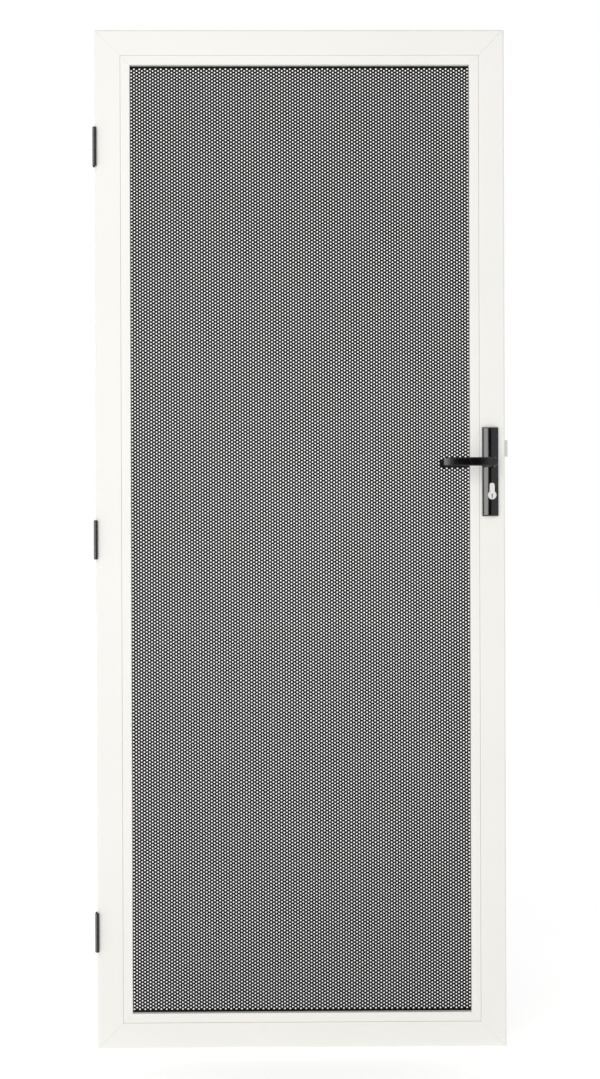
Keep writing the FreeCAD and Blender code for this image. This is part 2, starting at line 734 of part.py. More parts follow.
def lock_case():
    """The mortice lock's case behind the forend, cut for the latch, the spindle and the cylinder."""
    back = -D.forend_thickness - D.case_depth
    half_length = D.case_length / 2
    body = new_body("lock_case")
    side = new_sketch(body, "case_side", "XZ_Plane")
    rectangle(side, back, -half_length, -D.forend_thickness, half_length)
    pad(body, side, D.case_thickness)
    channel = new_sketch(body, "case_channel", "YZ_Plane")
    latch_window(channel)
    pocket(body, channel, D.latch_tail + D.latch_throw + D.latch_end_room)
    holes = new_sketch(body, "case_holes", "XZ_Plane")
    hub_radius = D.spindle_size * Size.of(0.5).root() + D.hub_clearance
    circle(holes, -D.spindle_backset, D.lever_rise - D.plate_rise, hub_radius)
    euro_outline(holes, -D.spindle_backset, D.cylinder_rise - D.plate_rise, D.cylinder_clearance)
    pocket(body, holes)
    place(body, lock_edge, 0, plate_z)
    return body


pieces = [
    frame_member("hinge_stile", "hinge"), lock_stile(),
    frame_member("top_rail", "top"), frame_member("bottom_rail", "bottom"),
    bead("hinge_side_bead", "hinge"), bead("lock_side_bead", "lock"),
    bead("top_bead", "top"), bead("bottom_bead", "bottom"), perforated_sheet(),
]
for place_name in HINGE_PLACES:
    pieces += [hinge_jamb_half(place_name), hinge_door_half(place_name), hinge_pin(place_name)]
pieces += [
    lock_plate("outer_lock_plate", -1), lock_plate("inner_lock_plate", 1),
    lever("outer_lever", -1), lever("inner_lever", 1), spindle(),
    cylinder_body(), key_plug("outer_key_plug", -1), key_plug("inner_key_plug", 1),
    latch_bolt(), lock_forend(), lock_case(),
]
doc.recompute()

for item in doc.Objects:
    if "Invalid" in item.State or "Error" in item.State:
        raise RuntimeError(f"{item.Name} failed: {item.State}")
for piece in pieces:
    if piece.Shape.isNull() or not piece.Shape.isValid():
        raise RuntimeError(f"{piece.Label} has no valid shape")

os.makedirs("parts", exist_ok=True)
for piece in pieces:
    piece.Shape.exportStep(f"parts/{piece.Label}.step")
    print(piece.Label, len(piece.Shape.Solids), round(piece.Shape.Volume), piece.Shape.BoundBox)
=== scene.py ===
# %% [markdown]
# # A steel security screen door
#
# The door is a white frame of mitred tube with a black perforated sheet held behind white beads. It hangs on three
# butt hinges and has a lever lock with a profile cylinder. The CAD frame already holds the solid parts, so this
# lesson adds what CAD leaves out: the thousands of holes, the screws, and the finishes. Everything is in metres, with
# the origin on the middle hinge, +X from the hinges to the lock, -Y outside and +Z up.

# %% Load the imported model
import json
import math

import bpy
import numpy as np
from mathutils import Matrix, Vector


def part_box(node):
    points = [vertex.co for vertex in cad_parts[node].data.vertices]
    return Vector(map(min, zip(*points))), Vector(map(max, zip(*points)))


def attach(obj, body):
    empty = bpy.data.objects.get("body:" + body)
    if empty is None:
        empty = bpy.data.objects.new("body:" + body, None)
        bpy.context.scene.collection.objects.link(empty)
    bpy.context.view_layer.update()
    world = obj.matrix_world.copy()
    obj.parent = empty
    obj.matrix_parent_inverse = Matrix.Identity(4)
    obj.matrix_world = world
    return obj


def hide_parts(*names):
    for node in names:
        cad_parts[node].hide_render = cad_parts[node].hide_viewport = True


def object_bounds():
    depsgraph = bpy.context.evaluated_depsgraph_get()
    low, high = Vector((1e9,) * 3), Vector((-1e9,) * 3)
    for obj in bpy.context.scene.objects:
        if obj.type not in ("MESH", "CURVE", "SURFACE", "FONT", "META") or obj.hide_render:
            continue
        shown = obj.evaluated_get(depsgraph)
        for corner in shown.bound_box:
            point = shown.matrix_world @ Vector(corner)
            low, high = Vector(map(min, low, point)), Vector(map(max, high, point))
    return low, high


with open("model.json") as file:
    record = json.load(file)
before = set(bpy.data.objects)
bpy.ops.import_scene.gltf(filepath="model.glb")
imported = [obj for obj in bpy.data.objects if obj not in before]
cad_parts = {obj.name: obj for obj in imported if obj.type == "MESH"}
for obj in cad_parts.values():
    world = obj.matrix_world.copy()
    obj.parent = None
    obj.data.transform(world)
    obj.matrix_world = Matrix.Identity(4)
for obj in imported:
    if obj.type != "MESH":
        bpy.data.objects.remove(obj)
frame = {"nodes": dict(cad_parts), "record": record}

MM = 0.001
nodes = frame["nodes"]
cad_low, cad_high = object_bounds()
print("CAD box in mm:", [round(v / MM, 1) for v in cad_high - cad_low])

# %% [markdown]
# ## Finishes
#
# A finish is a shader and a few textures that drive it. Two-dimensional pictures could be wrapped round each piece,
# but most pieces here are long tubes, and a noise that fills space needs no unwrapping and has no seams at the
# mitres. So each finish reads Object coordinates, which are metres on the real door. What is the same all over a
# surface is typed on the shader itself, and only what varies is wired.

# %% Helpers that start a finish, add a noise to it and use the noise
NOISE_LOW, NOISE_HIGH = 0.3, 0.7  # most of a noise lies between these


def start_finish(name, **shader_values):
    """A new material with values typed on its shader. Underscores stand for the spaces in a socket's name."""
    material = bpy.data.materials.new(name)
    material.use_nodes = True
    shader = material.node_tree.nodes["Principled BSDF"]
    for socket, value in shader_values.items():
        shader.inputs[socket.replace("_", " ")].default_value = value
    return material, material.node_tree, shader


def add_noise(tree, size, detail=2.0, stretch=(1, 1, 1), roughness=0.5):
    """A noise whose blobs are about size metres across, drawn out along the axes by stretch."""
    place = tree.nodes.new("ShaderNodeTexCoord")
    mapping = tree.nodes.new("ShaderNodeMapping")
    noise = tree.nodes.new("ShaderNodeTexNoise")
    mapping.inputs["Scale"].default_value = [1 / (size * s) for s in stretch]
    noise.inputs["Scale"].default_value = 1.0
    noise.inputs["Detail"].default_value = detail
    noise.inputs["Roughness"].default_value = roughness
    tree.links.new(place.outputs["Object"], mapping.inputs["Vector"])
    tree.links.new(mapping.outputs["Vector"], noise.inputs["Vector"])
    return noise.outputs["Fac"]


def to_range(tree, value, low, high, from_low=NOISE_LOW, from_high=NOISE_HIGH):
    """Spreads a value, such as a noise, from one range over another."""
    spread = tree.nodes.new("ShaderNodeMapRange")
    spread.inputs["From Min"].default_value = from_low
    spread.inputs["From Max"].default_value = from_high
    spread.inputs["To Min"].default_value = low
    spread.inputs["To Max"].default_value = high
    tree.links.new(value, spread.inputs["Value"])
    return spread.outputs["Result"]


def to_colours(tree, value, *stops):
    """Turns a value into colours: each stop is a place from 0 to 1 and an RGB colour."""
    ramp = tree.nodes.new("ShaderNodeValToRGB")
    elements = ramp.color_ramp.elements
    while len(elements) < len(stops):
        elements.new(0.5)
    for element, (place, colour) in zip(elements, stops):
        element.position = place
        element.color = (*colour, 1)
    tree.links.new(value, ramp.inputs["Fac"])
    return ramp.outputs["Color"]


def raise_surface(tree, shader, *layers):
    """Adds bumps to a shader: each layer is a noise and its height in metres."""
    normal = None
    for height_map, height in layers:
        bump = tree.nodes.new("ShaderNodeBump")
        bump.inputs["Strength"].default_value = 1.0
        bump.inputs["Distance"].default_value = height
        tree.links.new(height_map, bump.inputs["Height"])
        if normal:
            tree.links.new(normal, bump.inputs["Normal"])
        normal = bump.outputs["Normal"]
    tree.links.new(normal, shader.inputs["Normal"])


# %% [markdown]
# The frame and beads are powder coated: a powder is sprayed on and melts to a skin that is a little wavy, like orange
# peel, with waves of about two millimetres. The colour is a warm white that is never quite even. Two noises make the
# peel and the powder's grain, and slow ones move the colour and the gloss by a few hundredths.

# %% Powder coat of the frame, and of the sheet
COLOUR_DRIFT = 350 * MM  # length over which the colour changes
GLOSS_DRIFT = 60 * MM    # length over which the gloss changes
PEEL_WAVE = 2.2 * MM
GRAIN_WAVE = 0.6 * MM


def powder_coat(name, pale, deep, roughness, peel, grain, **shader_values):
    """A coat between two colours and two roughnesses, with the heights of its peel and its grain."""
    material, tree, shader = start_finish(name, IOR=1.5, **shader_values)
    drift = add_noise(tree, COLOUR_DRIFT, detail=3)
    tree.links.new(to_colours(tree, drift, (NOISE_LOW, deep), (NOISE_HIGH, pale)), shader.inputs["Base Color"])
    handled = add_noise(tree, GLOSS_DRIFT, detail=4)
    tree.links.new(to_range(tree, handled, *roughness), shader.inputs["Roughness"])
    raise_surface(
        tree, shader,
        (add_noise(tree, PEEL_WAVE, detail=1), peel),
        (add_noise(tree, GRAIN_WAVE, detail=1), grain),
    )
    return material


WHITE = (0.885, 0.872, 0.838)
WHITE_IN_SHADE = (0.862, 0.848, 0.812)
BLACK = (0.0028, 0.0028, 0.0030)
BLACK_DUSTY = (0.0060, 0.0058, 0.0056)
frame_coat = powder_coat(
    "white_powder_coat", WHITE, WHITE_IN_SHADE, roughness=(0.40, 0.50), peel=0.03 * MM, grain=0.004 * MM,
    Specular_IOR_Level=0.1)
sheet_coat = powder_coat(
    "black_powder_coat", BLACK_DUSTY, BLACK, roughness=(0.36, 0.48), peel=0.02 * MM, grain=0.006 * MM,
    Specular_IOR_Level=0.2)
print("powder coats:", frame_coat.name, sheet_coat.name)

# %% [markdown]
# The hinges and the lock are painted black too, but thinner and smoother, so that they mirror the room. Hands and
# the turning of the barrel rub the paint, which shows as a paler, duller film in patches. The hinges are a little
# rougher than the lock, as paint on rolled steel is.

# %% Black of the hinges and of the lock
RUBBED_PATCH = 12 * MM
RUBBED_FROM, RUBBED_TO = 0.42, 0.78  # levels of the patches' noise at which the film starts and is full
SMEAR = 20 * MM
SMEAR_STRETCH = (0.5, 0.5, 1.6)      # hands smear up and down
PAINT_WAVE = 1.4 * MM
PAINT_WAVE_HEIGHT = 0.006 * MM


def black_enamel(name, colour, rubbed, roughness):
    material, tree, shader = start_finish(name, IOR=1.8)
    patches = add_noise(tree, RUBBED_PATCH, detail=5, roughness=0.62)
    tree.links.new(
        to_colours(tree, patches, (RUBBED_FROM, colour), (RUBBED_TO, rubbed)), shader.inputs["Base Color"])
    smears = add_noise(tree, SMEAR, detail=4, stretch=SMEAR_STRETCH)
    tree.links.new(to_range(tree, smears, *roughness), shader.inputs["Roughness"])
    raise_surface(tree, shader, (add_noise(tree, PAINT_WAVE, detail=2), PAINT_WAVE_HEIGHT))
    return material


lock_black = black_enamel(
    "black_enamel", (0.0012, 0.0012, 0.0012), (0.0045, 0.0045, 0.0044), roughness=(0.09, 0.17))
hinge_black = black_enamel(
    "black_hinge_paint", (0.0015, 0.0015, 0.0015), (0.0070, 0.0070, 0.0068), roughness=(0.15, 0.25))
print("black finishes:", lock_black.name, hinge_black.name)

# %% [markdown]
# The cylinder is brass under satin nickel, brushed along its height, and the latch and the forend are zinc-plated
# steel, which is darker and blotchy. Brushing is a noise drawn out many times along one axis. It moves the gloss and
# raises fine lines. A satin metal scatters much of the light, much as a matt surface does, so the shader is only about
# a third metallic: as a full metal it would mirror the room's walls and glare from the side.

# %% Nickel of the cylinder and zinc of the latch
def brushed_metal(name, pale, deep, roughness, blotch, line, line_stretch, line_depth):
    """A metal with clouds of colour as wide as blotch, and upright lines of a width, stretch and depth."""
    material, tree, shader = start_finish(name, Metallic=0.3)
    clouds = add_noise(tree, blotch, detail=4)
    tree.links.new(to_colours(tree, clouds, (NOISE_LOW, deep), (NOISE_HIGH, pale)), shader.inputs["Base Color"])
    lines = add_noise(tree, line, detail=3, stretch=(1, 1, line_stretch))
    tree.links.new(to_range(tree, lines, *roughness), shader.inputs["Roughness"])
    raise_surface(tree, shader, (lines, line_depth))
    return material


nickel = brushed_metal(
    "satin_nickel", (0.87, 0.86, 0.83), (0.79, 0.78, 0.75), roughness=(0.38, 0.50), blotch=10 * MM,
    line=0.4 * MM, line_stretch=60, line_depth=0.003 * MM)
zinc = brushed_metal(
    "zinc_plate", (0.74, 0.74, 0.74), (0.64, 0.64, 0.645), roughness=(0.42, 0.58), blotch=14 * MM,
    line=0.5 * MM, line_stretch=40, line_depth=0.004 * MM)
print("metals:", nickel.name, zinc.name)

# %% [markdown]
# Every CAD part gets the finish of its material slot in the record. The parts come with plain materials of the same
# slot, so the slot's name finds the finish.

# %% Dress the CAD parts
finishes = {
    "frame_powder_coat": frame_coat,
    "sheet_powder_coat": sheet_coat,
    "hinge_black": hinge_black,
    "lock_black": lock_black,
    "cylinder_nickel": nickel,
    "lock_steel": zinc,
}
dressed = {}
for part in frame["record"]["subparts"]:
    mesh = nodes[part["node"]].data
    mesh.materials.clear()
    mesh.materials.append(finishes[part["material_slot"]])
    dressed.setdefault(part["material_slot"], []).append(part["node"])
for slot_name, names in dressed.items():
    print(slot_name, "on", len(names), "parts")

# %% [markdown]
# ## The perforated sheet
#
# The black sheet has about 35,000 holes in staggered columns, and daylight through them makes it look grey from a
# distance. A picture with transparent dots would look right from the front only, and cutting the holes one by one
# with booleans would take hours. The holes follow a rule, so Geometry Nodes can lay them out: between any three
# neighbouring holes lies a small web, and the sheet is two such webs, one pointing up and one sideways, repeated at
# every hole. The holes are hexagons with the area of a round hole of about 3.4 mm.

# %% The grid of holes
COLUMNS = 126
ROWS = 278
BANDS = 6
HOLE_CORNER = 1.85 * MM  # from a hole's centre to its corners
HOLE_FLAT = HOLE_CORNER * math.cos(math.radians(30))  # from its centre to its upright sides
PLAIN_SIDE = 1.0 * MM    # left unpunched beside the beads
PLAIN_END = 4.0 * MM     # left unpunched along the head and foot of the opening

sheet_low, sheet_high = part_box("perforated_sheet")
opening_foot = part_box("bottom_bead")[1].z
opening_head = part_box("top_bead")[0].z
opening_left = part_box("hinge_side_bead")[1].x
opening_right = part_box("lock_side_bead")[0].x
first_hole = Vector((
    opening_left + PLAIN_SIDE + HOLE_FLAT,
    sheet_low.y,
    opening_foot + PLAIN_END + HOLE_CORNER,
))
COLUMN_STEP = (opening_right - opening_left - 2 * (PLAIN_SIDE + HOLE_FLAT)) / (COLUMNS - 1)
ROW_STEP = (opening_head - opening_foot - 2 * (PLAIN_END + HOLE_CORNER)) / (ROWS - 0.5)
print(COLUMNS * ROWS, "holes, columns", round(COLUMN_STEP / MM, 2), "mm apart, rows", round(ROW_STEP / MM, 2))


def rim(column, row):
    """The six corners of a hole by their angle, as (x, z) from the first hole."""
    x = column * COLUMN_STEP
    z = (row + 0.5 * (column % 2)) * ROW_STEP
    return {
        angle: (x + HOLE_CORNER * math.cos(math.radians(angle)), z + HOLE_CORNER * math.sin(math.radians(angle)))
        for angle in (30, 90, 150, 210, 270, 330)
    }


# %% [markdown]
# A web is the six-sided patch between three holes. Each is drawn once, from the hole at the origin, as a flat face
# that looks backwards, because the sheet is thickened towards the back later.

# %% The two webs
def flat_object(name, outlines):
    """Flat faces in the x-z plane, all looking along +Y, as an object that only feeds the node tree."""
    corners, faces = {}, []
    for outline in outlines:
        area = sum(a[0] * b[1] - b[0] * a[1] for a, b in zip(outline, outline[1:] + outline[:1]))
        ordered = outline if area < 0 else outline[::-1]
        faces.append([corners.setdefault((round(x, 9), round(z, 9)), len(corners)) for x, z in ordered])
    mesh = bpy.data.meshes.new(name)
    mesh.from_pydata([(x, 0.0, z) for x, z in corners], [], faces)
    return bpy.data.objects.new(name, mesh)


here, above, right_low, right_high = rim(0, 0), rim(0, 1), rim(1, -1), rim(1, 0)
upper_web = flat_object("upper_web", [
    [here[90], here[30], right_high[210], right_high[150], above[330], above[270]]])
side_web = flat_object("side_web", [
    [here[30], here[330], right_low[150], right_low[90], right_high[270], right_high[210]]])
print("webs drawn:", upper_web.name, side_web.name)

# %% [markdown]
# The sheet has a plain edge all round. Its inner side follows the outermost holes and its outer side is straight. It
# is drawn face by face, because each side meets the holes in its own way: along the sides it fills between half
# holes, and along the head and foot it steps with the stagger.

# %% The plain edge
LEFT_EDGE = sheet_low.x - first_hole.x
RIGHT_EDGE = sheet_high.x - first_hole.x
FOOT_EDGE = sheet_low.z - first_hole.z
HEAD_EDGE = sheet_high.z - first_hole.z
LAST_COLUMN = COLUMNS - 1
LAST_ROW = ROWS - 1
OTHER_END = {30: 330, 330: 30, 150: 210, 210: 150}  # the two corners of each upright side of a hole


def side_edge(rows):
    """Fills from the first and last columns of holes to the sheet's sides. The patch between two holes goes with the
    row that has the web beside it, which is the lower one on the left and the upper one on the right."""
    outlines = []
    for row in rows:
        for column, x, bulge, step in ((0, LEFT_EDGE, (210, 150), 1), (LAST_COLUMN, RIGHT_EDGE, (330, 30), -1)):
            hole = rim(column, row)
            low, high = hole[270], hole[90]
            outlines.append([low, hole[bulge[0]], hole[bulge[1]], high, (x, high[1]), (x, low[1])])
            if 0 <= row + step <= LAST_ROW:
                beyond = rim(column, row + step)
                near, far = (high, beyond[270]) if step > 0 else (low, beyond[90])
                outlines.append([near, far, (x, far[1]), (x, near[1])])
    return outlines


def end_edge(row, z, tip, shoulders, tall):
    """Fills from the first or last row to the sheet's foot or head. tip and shoulders are the angles of a hole's
    corner towards the edge and of the two beside it; tall says which columns reach further out, 0 for even and 1 for
    odd."""
    outlines = []
    for column in range(COLUMNS):
        hole = rim(column, row)
        middle, left, right = hole[tip], hole[shoulders[0]], hole[shoulders[1]]
        if column > 0:
            outlines.append([left, middle, (middle[0], z), (left[0], z)])
        if column < LAST_COLUMN:
            outlines.append([middle, right, (right[0], z), (middle[0], z)])
            after = rim(column + 1, row)
            after_left = after[shoulders[0]]
            if column % 2 == tall:
                inner = hole[OTHER_END[shoulders[1]]]
            else:
                inner = after[OTHER_END[shoulders[0]]]
            outlines.append([right, inner, after_left, (after_left[0], z), (right[0], z)])
    for x, column in ((LEFT_EDGE, 0), (RIGHT_EDGE, LAST_COLUMN)):
        corner = rim(column, row)[tip]
        outlines.append([corner, (corner[0], z), (x, z), (x, corner[1])])
    return outlines


def plain_edge(band, rows):
    outlines = side_edge(rows)
    if 0 in rows:
        outlines += end_edge(0, FOOT_EDGE, 270, (210, 330), 0)
    if LAST_ROW in rows:
        outlines += end_edge(LAST_ROW, HEAD_EDGE, 90, (150, 30), 1)
    return flat_object(f"plain_edge_{band}", outlines)


print("plain edge left of the first hole's centre:", round(-LEFT_EDGE / MM, 1), "mm, below it:",
      round(-FOOT_EDGE / MM, 1), "mm")

# %% [markdown]
# Two node trees follow, one for the sheet and one for the screws. Nodes could be placed and wired by hand in Blender's
# editor. In a script each would take several lines, so a small helper adds a node and its wires in one.

# %% A helper that builds node trees
def link_or_set(tree, socket, value):
    """Wires another node's output into a socket, or types a plain value on it."""
    if isinstance(value, bpy.types.NodeSocket):
        tree.links.new(value, socket)
    else:
        socket.default_value = value


def add_sum(tree, operation, first, second=0.0):
    """A Math node, which works in geometry and shader trees alike."""
    node = tree.nodes.new("ShaderNodeMath")
    node.operation = operation
    for socket, value in zip(node.inputs, (first, second)):
        link_or_set(tree, socket, value)
    return node.outputs[0]


class NodeTree:
    """A Geometry Nodes tree with named inputs, and short ways to add its nodes."""

    def __init__(self, name, **inputs):
        self.tree = bpy.data.node_groups.new(name, "GeometryNodeTree")
        self.tree.interface.new_socket("Geometry", in_out="INPUT", socket_type="NodeSocketGeometry")
        self.identifiers = {}
        for label, kind in inputs.items():
            words = label.replace("_", " ").capitalize()
            socket = self.tree.interface.new_socket(words, in_out="INPUT", socket_type="NodeSocket" + kind)
            self.identifiers[label] = socket.identifier
        self.tree.interface.new_socket("Geometry", in_out="OUTPUT", socket_type="NodeSocketGeometry")
        self.entry = self.tree.nodes.new("NodeGroupInput")

    def given(self, label):
        return self.entry.outputs[label.replace("_", " ").capitalize()]

    def add(self, kind, settings=None, **sockets):
        """Adds a node. A socket takes a value, or another node's output, or a list of outputs to join."""
        node = self.tree.nodes.new(kind)
        for setting, value in (settings or {}).items():
            setattr(node, setting, value)
        for label, value in sockets.items():
            socket = next(
                s for s in node.inputs if s.enabled and s.name.replace(" ", "_").lower() == label.lower())
            for one in value if isinstance(value, list) else [value]:
                link_or_set(self.tree, socket, one)
        return node.outputs

    def sums(self, operation, first, second=0.0):
        return add_sum(self.tree, operation, first, second)

    def finish_with(self, geometry):
        end = self.tree.nodes.new("NodeGroupOutput")
        self.tree.links.new(geometry, end.inputs["Geometry"])

    def make(self, name, points=(), **values):
        """Runs the tree on a few points with these inputs and returns the result as a plain mesh object."""
        mesh = bpy.data.meshes.new(name + "_points")
        mesh.from_pydata(points, [], [])
        worker = bpy.data.objects.new(name + "_worker", mesh)
        modifier = worker.modifiers.new(self.tree.name, "NODES")
        modifier.node_group = self.tree
        for label, value in values.items():
            modifier[self.identifiers[label]] = value
        bpy.context.scene.collection.objects.link(worker)
        evaluated = worker.evaluated_get(bpy.context.evaluated_depsgraph_get())
        plain = bpy.data.meshes.new_from_object(evaluated)
        worker.modifiers.remove(modifier)
        bpy.data.objects.remove(worker)
        plain.name = name
        piece = bpy.data.objects.new(name, plain)
        bpy.context.scene.collection.objects.link(piece)
        return piece


# %% [markdown]
# The sheet's tree counts points from zero and works out each one's column and row. Every second column is half a row
# higher, which is the stagger.

# %% The tree that punches a band of the sheet: a point for each hole
punch = NodeTree(
    "punch_sheet", columns="Int", rows="Int", first_row="Int", all_rows="Int", column_step="Float",
    row_step="Float", first_hole="Vector", thickness="Float", upper_web="Object", side_web="Object",
    plain_edge="Object", finish="Material")

count = punch.sums("MULTIPLY", punch.given("columns"), punch.given("rows"))
line = punch.add("GeometryNodeMeshLine", Count=count)["Mesh"]
index = punch.add("GeometryNodeInputIndex")["Index"]
column = punch.sums("FLOOR", punch.sums("DIVIDE", punch.sums("ADD", index, 0.5), punch.given("rows")))
row_in_band = punch.sums("SUBTRACT", index, punch.sums("MULTIPLY", column, punch.given("rows")))
row = punch.sums("ADD", row_in_band, punch.given("first_row"))
odd = punch.sums("FLOORED_MODULO", column, 2.0)
along = punch.sums("MULTIPLY", column, punch.given("column_step"))
staggered = punch.sums("ADD", row, punch.sums("MULTIPLY", odd, 0.5))
up = punch.sums("MULTIPLY", staggered, punch.given("row_step"))
place = punch.add("ShaderNodeCombineXYZ", X=along, Z=up)["Vector"]
points = punch.add("GeometryNodeSetPosition", Geometry=line, Position=place)["Geometry"]
print("nodes so far:", len(punch.tree.nodes))

# %% [markdown]
# A web is put on a point only where all three of its holes are there, so the ends of the grid stay clean. Rows and
# columns are whole or half numbers, so each test is set a little off them.

# %% Where each web fits
not_last_column = punch.sums("LESS_THAN", column, punch.sums("SUBTRACT", punch.given("columns"), 1.5))
last_row = punch.sums("SUBTRACT", punch.given("all_rows"), 1.5)
not_last_row = punch.sums("LESS_THAN", row, last_row)
even_at_foot = punch.sums("LESS_THAN", staggered, 0.25)
odd_at_head = punch.sums("GREATER_THAN", staggered, punch.sums("ADD", last_row, 0.75))
at_an_end = punch.sums("MAXIMUM", even_at_foot, odd_at_head)
upper_fits = punch.sums("MULTIPLY", not_last_column, not_last_row)
side_fits = punch.sums("MULTIPLY", not_last_column, punch.sums("SUBTRACT", 1.0, at_an_end))
print("nodes so far:", len(punch.tree.nodes))

# %% [markdown]
# The flat webs and the plain edge are joined and welded. Then the whole face is pushed back by the sheet's thickness,
# which makes the wall of every hole at once, and a turned copy of the face closes the front.

# %% From webs to a solid sheet
WELD = 0.002 * MM
webs = []
for web, fits in (("upper_web", upper_fits), ("side_web", side_fits)):
    shape = punch.add("GeometryNodeObjectInfo", Object=punch.given(web))["Geometry"]
    placed = punch.add("GeometryNodeInstanceOnPoints", Points=points, Selection=fits, Instance=shape)["Instances"]
    webs.append(punch.add("GeometryNodeRealizeInstances", Geometry=placed)["Geometry"])
edge = punch.add("GeometryNodeObjectInfo", Object=punch.given("plain_edge"))["Geometry"]
flat = punch.add("GeometryNodeJoinGeometry", Geometry=webs + [edge])["Geometry"]
face = punch.add("GeometryNodeMergeByDistance", Geometry=flat, Distance=WELD)["Geometry"]
face = punch.add("GeometryNodeSetPosition", Geometry=face, Offset=punch.given("first_hole"))["Geometry"]
walls = punch.add(
    "GeometryNodeExtrudeMesh", {"mode": "FACES"}, Mesh=face, Offset_Scale=punch.given("thickness"),
    Individual=False)["Mesh"]
front = punch.add("GeometryNodeFlipFaces", Mesh=face)["Mesh"]
solid = punch.add("GeometryNodeJoinGeometry", Geometry=[walls, front])["Geometry"]
solid = punch.add("GeometryNodeMergeByDistance", Geometry=solid, Distance=WELD)["Geometry"]
solid = punch.add("GeometryNodeRealizeInstances", Geometry=solid)["Geometry"]
punch.finish_with(punch.add("GeometryNodeSetMaterial", Geometry=solid, Material=punch.given("finish"))["Geometry"])
print("punch_sheet has", len(punch.tree.nodes), "nodes")

# %% [markdown]
# One mesh of the whole sheet would be heavy to handle, so the rows are made in six bands, one above the other. Each
# gets a map for later baking: the front, the back and the walls of the holes lie in three strips on it. A wall seen
# from the front is a line, so on the map it is slanted by its depth.

# %% Punch the six bands
FRONT, BACK, HOLE_WALLS = range(3)  # the strips of the map
STRIP_GAP = 3 * MM
STRIPS_AND_MARGIN = 3.02            # height of the map, in strips
WALL_RISE = 0.25                    # how far a wall's slant goes up, for each step sideways


def lay_out_map(piece):
    mesh = piece.data
    places = np.empty(len(mesh.vertices) * 3)
    mesh.vertices.foreach_get("co", places)
    places = places.reshape(-1, 3)
    normals = np.empty(len(mesh.polygons) * 3)
    mesh.polygons.foreach_get("normal", normals)
    facing = normals.reshape(-1, 3)[:, 1]
    corner_count = np.empty(len(mesh.polygons), int)
    mesh.polygons.foreach_get("loop_total", corner_count)
    strip_of_face = np.where(facing < -0.5, FRONT, np.where(facing > 0.5, BACK, HOLE_WALLS))
    strip = np.repeat(strip_of_face, corner_count)
    vertex = np.empty(len(mesh.loops), int)
    mesh.loops.foreach_get("vertex_index", vertex)
    x, y, z = (places[vertex] - places.min(axis=0)).T
    height = places[:, 2].max() - places[:, 2].min() + STRIP_GAP
    slant = np.where(strip == HOLE_WALLS, y, 0)
    flat_map = np.column_stack([x + slant, z + WALL_RISE * slant + strip * height]) / (STRIPS_AND_MARGIN * height)
    mesh.uv_layers.new(name="OFBake").data.foreach_set("uv", flat_map.ravel())


def triangles(piece):
    return sum(len(p.vertices) - 2 for p in piece.data.polygons)


sheet_triangles = 0
for band in range(BANDS):
    first, after_last = ROWS * band // BANDS, ROWS * (band + 1) // BANDS
    piece = punch.make(
        f"sheet_band_{band + 1}", columns=COLUMNS, rows=after_last - first, first_row=first, all_rows=ROWS,
        column_step=COLUMN_STEP, row_step=ROW_STEP, first_hole=first_hole, thickness=sheet_high.y - sheet_low.y,
        upper_web=upper_web, side_web=side_web, finish=sheet_coat,
        plain_edge=plain_edge(band + 1, range(first, after_last)))
    lay_out_map(piece)
    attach(piece, "door_leaf")
    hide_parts("perforated_sheet")
    sheet_triangles += triangles(piece)
    print(piece.name, triangles(piece), "triangles")
print("sheet in all:", sheet_triangles, "triangles")

# %% [markdown]
# ## Screws
#
# Seventeen cross-head screws hold the hardware: four in each hinge on the leaf, three in the forend and two through
# the inner lock plate. A screw is a turned blank with a pressed cross, so a head is drawn as rings with a cross sunk
# in the last one. The cross has one corner for every two sides of the ring, so one pattern joins them all round.

# %% A screw head with its cross
HEAD_SIDES = 24
CROSS_TAPER = 0.7  # size of the cross at its floor, against its top
CROSS_CORNERS = [  # x and y, where 1 stands for the side of an arm and 2 for its end
    (2, -1), (2, 1), (1, 1), (1, 2), (-1, 2), (-1, 1), (-2, 1), (-2, -1), (-1, -1), (-1, -2), (1, -2), (1, -1)]
CROSS_FLOORS = [[2, 5, 8, 11], [11, 0, 1, 2], [2, 3, 4, 5], [5, 6, 7, 8], [8, 9, 10, 11]]


def screw_head(name, rings, cross_reach, cross_half, cross_top, cross_floor):
    """A head that looks along +Z. rings are (radius, height) from its foot to its top, all sizes in millimetres."""
    corners = []
    for radius, height in rings:
        for side in range(HEAD_SIDES):
            angle = math.tau * side / HEAD_SIDES
            corners.append((radius * math.cos(angle), radius * math.sin(angle), height))
    for shrink, height in ((1.0, cross_top), (CROSS_TAPER, cross_floor)):
        size = {1: cross_half * shrink, 2: cross_reach * shrink}
        corners += [
            (math.copysign(size[abs(x)], x), math.copysign(size[abs(y)], y), height) for x, y in CROSS_CORNERS]
    faces = [list(reversed(range(HEAD_SIDES)))]
    for ring in range(len(rings) - 1):
        low, high = ring * HEAD_SIDES, (ring + 1) * HEAD_SIDES
        for side in range(HEAD_SIDES):
            after = (side + 1) % HEAD_SIDES
            faces.append([low + side, low + after, high + after, high + side])
    last_ring = (len(rings) - 1) * HEAD_SIDES
    top, floor = len(rings) * HEAD_SIDES, len(rings) * HEAD_SIDES + len(CROSS_CORNERS)
    for number in range(len(CROSS_CORNERS)):
        after = (number + 1) % len(CROSS_CORNERS)
        beside = [last_ring + (2 * number - 1 + step) % HEAD_SIDES for step in range(3)]
        faces.append(beside + [top + after, top + number])
        faces.append([top + number, top + after, floor + after, floor + number])
    faces += [[floor + corner for corner in patch] for patch in CROSS_FLOORS]
    mesh = bpy.data.meshes.new(name)
    mesh.from_pydata([[size * MM for size in corner] for corner in corners], [], faces)
    print(name, len(faces), "faces")
    return bpy.data.objects.new(name, mesh)


